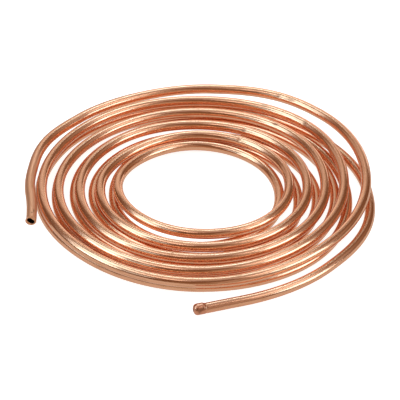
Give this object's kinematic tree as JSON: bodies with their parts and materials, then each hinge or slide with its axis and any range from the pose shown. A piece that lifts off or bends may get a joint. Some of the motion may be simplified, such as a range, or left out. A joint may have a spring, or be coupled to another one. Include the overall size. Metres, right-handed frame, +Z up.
{
  "type": "copper tube coil",
  "caption": "Soft copper tube wound loosely into a flat coil, spiralling in on top and out again underneath, with a cut open end at each side.",
  "frame": {"origin": "on the floor, under the middle of the coil's box", "axes": "+Z up, out of the coil's flat side; the tube's open upper end is at -X and points to -Y, and the end on the floor is at -Y and points to -X"},
  "size_m": [0.2044, 0.2212, 0.0123],
  "materials": {
    "copper": null
  },
  "bodies": {
    "root": {"tube": "copper"}
  },
  "joints": []
}
